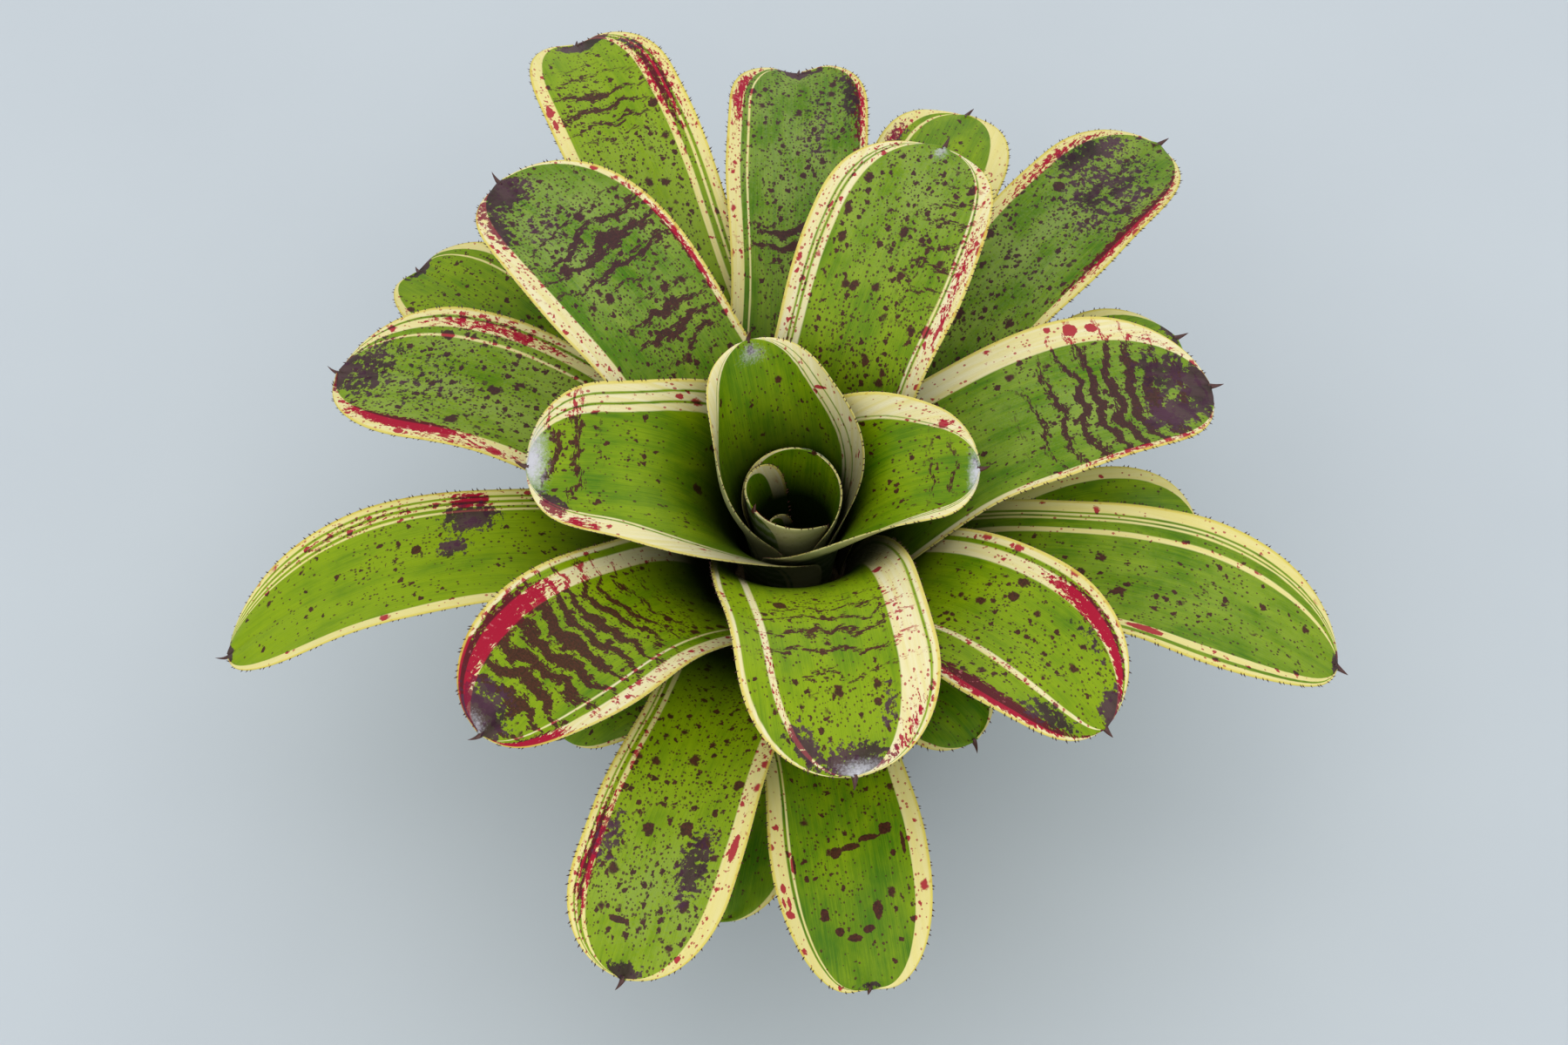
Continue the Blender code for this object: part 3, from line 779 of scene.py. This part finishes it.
def leaf_green(f, at):
    """Green from deep to yellow, veined along the leaf, with a patchy grey bloom that is partly a
    painted sheen.
    """
    lightness = f.add(at.yellow, f.about(at.cloud, 1.7))
    lightness = f.add(lightness, f.about(at.streak, 0.7))
    green = f.mix(f.step(lightness, 0.0, 1.0), linear(66, 112, 0), linear(138, 163, 0))
    green = f.mix(f.mul(f.step(at.fine, 0.45, 0.75), 0.25), green, linear(156, 182, 14))
    green = f.mix(f.mul(f.step(at.fine, 0.5, 0.25), 0.25), green, linear(46, 88, 0))
    # painted sheen: the grey is partly the real scales of the leaf and partly a painted sheen of
    # bright sky
    bloom_and_painted_sheen = f.mul(at.bloom, f.step(f.add(at.cloud, f.mul(at.grit, 0.7)), 0.66, 1.0))
    return f.mix(f.mul(bloom_and_painted_sheen, 0.55), green, linear(142, 156, 104))


def leaf_cream(f, at):
    """Cream, greener along its veins and more yellow on the older leaves, which lie
    further along the third flat coordinate."""
    age = f.step(f.split(at.flat)[2], LEAF_STEP * FIRST_YELLOW, LEAF_STEP * LAST_YELLOW)
    pale = f.mix(f.step(at.streak, 0.3, 0.7), linear(243, 230, 184), linear(236, 219, 146))
    pale = f.mix(f.mul(age, 0.6), pale, linear(238, 220, 124))
    return f.mix(f.mul(f.step(at.fine, 0.55, 0.8), 0.3), pale, linear(200, 206, 116))


def leaf_flecks(f, at):
    """Flecks of three sizes, the two larger ones on coordinates that a noise has bent."""
    wobble = f.node("TexNoise", {"Vector": at.flat, "Scale": 0.5, "Detail": 3.0})
    bent = {0: at.flat, 1: f.stretch(wobble.outputs["Color"], (3.4, 3.4, 0))}
    warp = f.node("VectorMath", bent, operation="ADD").outputs[0]
    crowd = f.mul(at.flecks, f.add(f.step(at.cloud, 0.35, 0.65), 0.35))
    spots = fleck_mask(f, 0.15, 0.26, f.mul(crowd, 0.46), warp)
    dots = fleck_mask(f, 0.34, 0.30, f.mul(crowd, 0.85), warp)
    specks = fleck_mask(f, 0.85, 0.34, f.mul(crowd, 0.92), at.flat)
    return f.either(f.either(spots, dots), f.mul(specks, 0.85))


def leaf_bands(f, at):
    """Crossbands: sin(0.78 y + drift + jag) plus crumbs, cut at a level that the leaf's own
    number for bands brings down, with y the millimetres along the leaf."""
    along = f.split(at.flat)[1]
    drift = f.mul(f.noise(f.stretch(at.flat, (0.045, 0.030, 1)), 1.0, 2, 0.5), 16)
    jag = f.mul(f.noise(f.stretch(at.flat, (0.10, 0.07, 1)), 1.0, 4, 0.6), 10)
    wave = f.math("SINE", f.add(f.mul(along, 0.78), f.add(drift, jag)))
    band = f.add(f.mul(wave, 0.42), f.about(at.crumb, 2.4))
    band = f.step(f.add(band, f.mul(at.bands, 0.80)), 0.58, 0.66)
    return f.mul(band, f.step(at.bands, 0.05, 0.3))


def leaf_marks(f, at):
    """Flecks, bands and single blots as one mask."""
    blot = f.step(f.add(at.blot, f.about(at.ragged, 0.7)), 0.5, 0.56)
    return f.either(f.either(leaf_flecks(f, at), leaf_bands(f, at)), blot)


print("cream turns yellow between", LEAVES[FIRST_YELLOW].name, "and", LEAVES[LAST_YELLOW].name)

# %% [markdown]
# ## The finish of a leaf
# The finish lays colour down in the order the plant does: green with fine veins, cream
# stripes, grey bloom with a painted sheen on it, then maroon or crimson marks, the purple tip
# and the pale scurf at the very end. The underside is duller and banded in grey. Deep in the
# funnel everything is painted darker, a painted shade, since hardly any light gets down there.

# %% Leaf finish


def inked(f, at, colour, stripe, mark):
    """Marks over a colour: maroon on green, mauve under the bloom and its painted sheen, crimson on
    cream.
    """
    ink = f.mix(f.step(at.grit, 0.35, 0.65), linear(52, 8, 16), linear(84, 26, 26))
    ink = f.mix(f.mul(at.bloom, 0.7), ink, linear(64, 34, 52))
    ink = f.mix(stripe, ink, linear(176, 8, 48))
    return f.mix(f.mul(mark, 0.95), colour, ink)


def stained(f, at, colour, stripe):
    """Crimson washes, browner on green, broken into dashes where they thin out, and the
    purple masses of the tip with their ragged edges."""
    stain = f.step(f.add(f.mul(at.crimson, 0.75), at.dash), 0.84, 0.89)
    red = f.mix(stripe, linear(92, 16, 24), linear(172, 4, 44))
    red = f.mix(f.mul(f.step(at.ragged, 0.60, 0.68), 0.6), red, linear(226, 128, 128))
    colour = f.mix(f.mul(stain, f.step(at.crimson, 0.02, 0.15)), colour, red)
    mass = f.step(f.add(f.mul(at.purple, 0.75), at.ragged), 0.88, 0.95)
    mass = f.mul(mass, f.step(at.purple, 0.02, 0.15))
    plum = f.mix(f.step(at.cloud, 0.35, 0.65), linear(46, 16, 30), linear(82, 46, 64))
    plum = f.mix(stripe, plum, linear(128, 8, 48))
    return f.mix(f.mul(mass, 0.93), colour, plum)


def edged(f, at, colour):
    """The yellow outermost edge, and chalky scurf at the tip."""
    rim = f.math("ABSOLUTE", f.math("SUBTRACT", at.u, 0.5))
    rim = f.mul(f.step(rim, 0.476, 0.490), f.step(at.purple, 0.9, 0.3))
    colour = f.mix(f.mul(rim, 0.8), colour, linear(228, 206, 84))
    chalk = f.step(f.add(f.mul(at.scurf, 0.9), f.mul(at.grit, 0.8)), 0.62, 1.35)
    return f.mix(chalk, colour, linear(206, 202, 206))


def underside(f, at, stripe, mark):
    """Dull green and dull cream, crossed by rows of grey scales."""
    row = f.math("SINE", f.add(f.mul(f.split(at.flat)[1], 0.9), f.mul(at.ragged, 8)))
    scales = f.step(f.add(row, at.grit), 0.3, 1.5)
    dull = f.mix(scales, linear(104, 132, 44), linear(164, 172, 136))
    dull = f.mix(f.mul(stripe, 0.8), dull, linear(222, 214, 150))
    return f.mix(f.mul(mark, 0.25), dull, linear(96, 70, 50))


def leaf_finish(name, cream):
    """One leaf's finish, laid down in the order that the plant grows it, and darkened at last by a
    painted shade deep in the funnel.
    """
    f = Finish(name)
    at = leaf_inputs(f)
    stripe = f.ramp(f.add(at.u, f.about(at.streak, 0.014)), stripe_stops(cream))
    colour = f.mix(stripe, leaf_green(f, at), leaf_cream(f, at))
    mark = leaf_marks(f, at)
    colour = inked(f, at, colour, stripe, mark)
    colour = stained(f, at, colour, stripe)
    colour = edged(f, at, colour)
    colour = f.mix(at.upper, underside(f, at, stripe, mark), colour)
    # painted shade: deep in the funnel the colour is mixed towards near black, less black on the
    # underside
    painted_funnel_shade = f.mix(at.upper, linear(40, 50, 18), linear(8, 20, 0))
    painted_shade_share = f.mul(at.dark, f.add(f.mul(at.upper, 0.28), 0.72))
    f.set("Base Color", f.mix(painted_shade_share, colour, painted_funnel_shade))
    f.set("Roughness", f.add(f.mul(at.grit, 0.25), f.add(f.mul(at.bloom, 0.12), 0.30)))
    f.set("Specular IOR Level", 0.18)
    f.bump(f.add(at.fine, f.mul(at.grit, 0.25)), 0.45, 0.00035)
    return f.material


SKINS = {leaf.name: leaf_finish(leaf.name + "_skin", MARKS[leaf.name].cream) for leaf in LEAVES}
print("leaf finishes:", len(SKINS))

# %% [markdown]
# ## Growing the leaves
# A leaf blade is about a millimetre thick and thins to a sharp margin. Each blade here is a
# fine grid on the surface above, doubled into a top and an underside that meet in a thin
# rim. A living leaf is never smooth, so slow ripples and folds are added to the grid, and
# the tips that have withered are drawn back into a notch.

# %% Leaf blade
ROWS, COLUMNS = 132, 44
ROLLED = 3  # the innermost leaves, rolled up in the heart
# shares of the length between which a leaf comes up out of the funnel's shade, which is painted
# into its colour
SHADE = [(0.62, 1.1), (0.50, 1.05), (0.50, 1.05), (0.44, 0.90), (0.36, 0.74), (0.36, 0.74)]
SHADE += [(0.24, 0.56), (0.26, 0.58)] + [(0.16, 0.46)] * 19
# how deep a withered tip is notched, mm
NOTCHED = {"middle_leaf_7": 5.0, "middle_leaf_2": 7.0, "outer_leaf_1": 5.0, "middle_leaf_8": 3.5}
NOTCH_REACH = 8


def wavy(rank, shares, across):
    """Height that a living leaf adds to the smooth surface, mm: slow ripples that grow
    towards the margins, |a|^3 sin(2 pi (k s + p)), a soft keel and lengthwise folds. The
    leaves rolled up in the heart have hardly any room for them."""
    s, a = shares[:, None], across[None, :]
    phase = 0.37 * rank
    free = ease((s - 0.35) / 0.3) * (0.3 if rank < ROLLED else 1)
    ripple = 1.1 * np.abs(a) ** 3 * np.sin(2 * np.pi * (2.6 * s + phase) + np.sign(a) * 0.9)
    fold = 0.35 * np.cos(a * 9 + phase * 5) * np.sin(2 * np.pi * (1.3 * s + phase * 2))
    keel = -0.5 * np.exp(-((a / 0.06) ** 2))
    return free * (ripple + fold + keel)


def blade_surface(leaf, rank, shares, across):
    """The leaf's middle surface with its waves, and its unit normals. A notched tip is
    drawn back by depth * exp(-(y / reach)^2), with y the distance from the midrib."""
    surface = leaf_surface(leaf, rank, shares, across)
    surface = surface + surface_normals(surface) * wavy(rank, shares, across)[..., None]
    if leaf.name in NOTCHED:
        radius, _, _, length = midrib(leaf, rank, shares)
        arc = across[None, :] * half_width(leaf, shares, radius, length)[:, None]
        middle = len(across) // 2
        ahead = surface[-1, middle] - surface[-20, middle]
        ahead /= np.linalg.norm(ahead)
        near_tip = ease((shares * length - length + 20) / 18)[:, None]
        dent = np.exp(-((arc / NOTCH_REACH) ** 2)) * near_tip
        surface = surface - ahead * (NOTCHED[leaf.name] * dent)[..., None]
    return surface, surface_normals(surface)


def blade_sheet(surface, normal, across):
    """Top and underside as rings of points, thick * sqrt(1 - 0.9 |a|^5) apart, and quads
    that wrap round each ring and close the foot and the tip."""
    thick = LEAF_THICK / 2 * np.sqrt(1 - 0.9 * np.abs(across) ** 5)[None, :, None]
    ring = np.concatenate([surface + normal * thick, (surface - normal * thick)[:, ::-1]], axis=1)
    count = 2 * COLUMNS
    column = np.arange(COLUMNS - 1)
    foot = np.stack([column, column + 1, count - 2 - column, count - 1 - column], axis=1)
    end = foot[:, ::-1] + (ROWS - 1) * count
    wall = grid_faces(ROWS, count, closed=True)[:, ::-1]
    return ring.reshape(-1, 3), np.concatenate([wall, foot, end])


print("points in a blade:", ROWS * COLUMNS * 2)

# %% [markdown]
# ## Thorns and tips
# Down both margins stand dark thorns a millimetre tall, leaning to the tip, and the tip
# ends in a curved point. They are part of the leaf, so they go in its mesh. There are
# thousands, so each thorn is only four points and four faces.

# %% Thorns and tips
THORN_GAP, THORN_HEIGHT, THORN_HALF_WIDTH = 3.1, 0.95, 0.5
THORN_FACES = np.array([[0, 2, 1], [0, 1, 3], [1, 2, 3], [2, 0, 3]])
POINT_SIDES = 8
NOTCHED_POINT, WHOLE_POINT = 3.0, 5.5  # length of the tip's point, mm


def thorn_points(edge, outward, tangent, height):
    """Thorns as three-sided spikes: three base corners sunk into the margin and one point
    that leans a little to the leaf's tip. Returns points (n, 4, 3)."""
    up = np.cross(tangent, outward)
    foot = edge - outward * 0.35
    first = foot - tangent * THORN_HALF_WIDTH + up * 0.05
    second = foot + tangent * THORN_HALF_WIDTH + up * 0.05
    third = foot - up * 0.42
    point = edge + outward * height + tangent * height * 0.55
    return np.stack([first, second, third, point], axis=1)


def margin_thorns(surface, side, rank):
    """Evenly spaced thorns down one margin, from a third of the way along to the tip."""
    edge = surface[:, -1 if side > 0 else 0]
    inner = surface[:, -3 if side > 0 else 2]
    walked = np.concatenate([[0], np.cumsum(np.linalg.norm(np.diff(edge, axis=0), axis=1))])
    places = np.arange(walked[-1] * 0.30, walked[-1] - 1.5, THORN_GAP)
    places = places + 0.35 * THORN_GAP * np.sin(np.arange(len(places)) * 2.3 + rank)

    def read(values):
        return np.stack([np.interp(places, walked, values[:, k]) for k in range(3)], axis=1)

    tangent = read(np.gradient(edge, axis=0))
    tangent /= np.linalg.norm(tangent, axis=1, keepdims=True)
    outward = read(edge - inner)
    outward -= tangent * (outward * tangent).sum(1, keepdims=True)
    outward /= np.linalg.norm(outward, axis=1, keepdims=True)
    height = THORN_HEIGHT + 0.25 * np.sin(np.arange(len(places)) * 1.7 + rank)[:, None]
    points = thorn_points(read(edge), outward, tangent, height)
    return points, THORN_FACES if side < 0 else THORN_FACES[:, ::-1]


def tip_point(surface, normal, length):
    """The mucro: a thin cone that leaves the tip's middle and curls up over it."""
    middle = surface.shape[1] // 2
    ahead = surface[-1, middle] - surface[-10, middle]
    ahead /= np.linalg.norm(ahead)
    root = surface[-1, middle] - ahead * 0.8
    up = normal[-3, middle]
    side = np.cross(up, ahead)
    side /= np.linalg.norm(side)
    t = np.linspace(0, 1, 9)
    centre = root + ahead * (t * length)[:, None] + up * (0.55 * length * t**2.2)[:, None]
    radius = 1.35 * (1 - t) ** 0.8 + 0.06
    angle = np.arange(POINT_SIDES) * 2 * np.pi / POINT_SIDES
    ring = np.cos(angle)[None, :, None] * side + np.sin(angle)[None, :, None] * up * 0.7
    points = centre[:, None, :] + ring * radius[:, None, None]
    return points.reshape(-1, 3)


def thorn_finish():
    """Horn: dark red brown, almost black, with a soft shine."""
    f = Finish("leaf_thorn")
    grain = f.noise(f.place(), 900, 3)
    f.set("Base Color", f.mix(grain, linear(44, 22, 20), linear(98, 48, 36)))
    f.set("Roughness", 0.4)
    return f.material


HORN = thorn_finish()
print("faces in a thorn:", len(THORN_FACES))

# %% [markdown]
# ## Numbers on the points
# A material can't know where on a leaf it is, or which leaf it is on. So each point carries
# a few numbers: how far across and along it lies, how strong each kind of mark is there, and how
# much painted shade it gets.
# A mark's patch is a soft hill over the leaf, strongest in its middle.

# %% Numbers on the points


def patch_sum(patches, kind, place_u, share):
    """Strength of the patches of one kind at every point: the strongest of
    strength * exp(-0.7 ((du / ru)^2 + (ds / rs)^2))."""
    total = np.zeros(np.broadcast(place_u, share).shape)
    for patch_kind, u, s, ru, rs, strength in patches:
        if patch_kind == kind:
            reach = ((place_u - u) / ru) ** 2 + ((share - s) / rs) ** 2
            total = np.maximum(total, strength * np.exp(-0.7 * reach))
    return total


def leaf_values(leaf, rank, shares, across):
    """The vectors that a blade's points carry, by attribute, in the order of the points."""
    marks = MARKS[leaf.name]
    radius, _, _, length = midrib(leaf, rank, shares)
    width = half_width(leaf, shares, radius, length)
    u = np.concatenate([(across + 1) / 2, (across[::-1] + 1) / 2])
    u = np.repeat(u[None, :], ROWS, axis=0)
    share = np.repeat(shares[:, None], 2 * COLUMNS, axis=1)
    upper = np.zeros_like(u)
    upper[:, :COLUMNS] = 1
    low, high = SHADE[rank]
    # dark is a painted shade, strongest at the leaf's foot deep in the funnel, plus the leaf's own
    # darkness from its tone
    dark = np.clip(marks.tone[1] + 0.94 * (1 - ease((share - low) / (high - low))), 0, 1)
    patches = {kind: patch_sum(marks.patches, kind, u, share) for kind in "cpsmbgx"}
    arc = (u * 2 - 1) * width[:, None]
    values = {
        "leaf_place": (u, share, upper),
        "leaf_flat": (arc, share * length, np.full_like(u, LEAF_STEP * rank)),
        "leaf_stain": (patches["c"], patches["p"], patches["s"]),
        "leaf_marks": (patches["m"], patches["b"], patches["g"]),
        "leaf_tone": (np.full_like(u, marks.tone[0]), dark, patches["x"]),
    }
    return {name: np.stack(parts, axis=-1).reshape(-1, 3) for name, parts in values.items()}


print("kinds of patch:", sorted({patch[0] for marks in MARKS.values() for patch in marks.patches}))

# %% Leaf mesh


def grow_leaf(leaf, rank):
    """One leaf as one mesh at the origin: blade, thorns down both margins, and point."""
    s = np.linspace(0, 1, ROWS)
    shares = np.clip(1 - (1 - s) ** 1.5, 0, 1) * 0.6 + s * 0.4
    even = np.linspace(-1, 1, COLUMNS)
    across = np.sin(even * np.pi / 2) * 0.35 + even * 0.65
    surface, normal = blade_surface(leaf, rank, shares, across)
    sheet, quads = blade_sheet(surface, normal, across)
    points, faces = [sheet], [quads]
    start = len(sheet)
    for side in (-1, 1):
        spikes, pattern = margin_thorns(surface, side, rank)
        first = np.arange(len(spikes))[:, None, None] * 4 + start
        faces.append((first + pattern[None]).reshape(-1, 3))
        points.append(spikes.reshape(-1, 3))
        start += len(points[-1])
    short = leaf.name in NOTCHED or rank < ROLLED
    points.append(tip_point(surface, normal, NOTCHED_POINT if short else WHOLE_POINT))
    rings = len(points[-1]) // POINT_SIDES
    faces += [group + start for group in capped_faces(rings, POINT_SIDES)]
    points = np.concatenate(points)
    index = np.concatenate([np.full(len(group), int(k > 0)) for k, group in enumerate(faces)])
    name = leaf.name.replace("_leaf", "_blade")
    blade = add_mesh(name, points * MM, faces, [SKINS[leaf.name], HORN], index)
    for attribute, values in leaf_values(leaf, rank, shares, across).items():
        rest = np.zeros((len(points) - len(values), 3))
        carry(blade, attribute, np.concatenate([values, rest]))
    return blade


SLOTS = {"heart": "young_leaf", "cup": "young_leaf", "inner": "spotted_leaf",
         "middle": "spotted_leaf", "outer": "old_leaf"}
total = 0
for rank, leaf in enumerate(LEAVES):
    blade = grow_leaf(leaf, rank)
    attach(blade, "root")
    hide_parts(leaf.name)
    SLOTS[leaf.name.split("_")[0]]
    total += sum(len(p.vertices) - 2 for p in blade.data.polygons)
print("leaf triangles:", total)

# %% [markdown]
# ## Floor and light
# The plant stands on a plain pale floor under a wide soft light from above, with a weaker
# one from behind, so every leaf shows its colour. The funnel grows dark towards its heart
# from this light and from the painted shade in the leaves' colour.

# %% Floor and light


def lay_floor():
    """A wide plain floor with a faint mottling."""
    f = Finish("floor_paint")
    mottle = f.noise(f.place(), 6, 4)
    f.set("Base Color", f.mix(mottle, linear(196, 200, 203), linear(204, 208, 210)))
    f.set("Roughness", 0.9)
    corner = 4.0
    points = np.array([(-1, -1, 0), (1, -1, 0), (1, 1, 0), (-1, 1, 0)]) * corner
    floor = add_mesh("floor", points, [[(0, 1, 2, 3)]], [f.material])
    return floor


def hang_light(name, place, aim, size, power, colour):
    """A square area light at a place, turned to face its aim."""
    data = bpy.data.lights.new(name, "AREA")
    data.size, data.energy, data.color = size, power, colour
    light = bpy.data.objects.new(name, data)
    light.location = place
    turn = np.array(aim) - np.array(place)
    light.rotation_euler = Vector(turn.tolist()).to_track_quat("-Z", "Y").to_euler()
    bpy.context.scene.collection.objects.link(light)


lay_floor()
hang_light("sky_panel", place=(-0.3, -0.9, 2.4), aim=(0, 0, 0.15), size=3.0, power=26,
           colour=(1.0, 0.99, 0.96))
hang_light("back_panel", place=(0.8, 1.8, 1.4), aim=(0, 0, 0.2), size=1.2, power=5,
           colour=(0.96, 0.98, 1.0))
world = bpy.data.worlds.new("room")
world.use_nodes = True
world.node_tree.nodes["Background"].inputs["Color"].default_value = (0.86, 0.93, 1.0, 1)
world.node_tree.nodes["Background"].inputs["Strength"].default_value = 0.86
bpy.context.scene.world = world
bpy.context.scene.view_settings.view_transform = "Standard"

# %% [markdown]
# ## Last update
# The visual pieces stay close to the solids that they stand for. Last, the scene is brought up to
# date.

# %% Last update
bpy.context.view_layer.update()
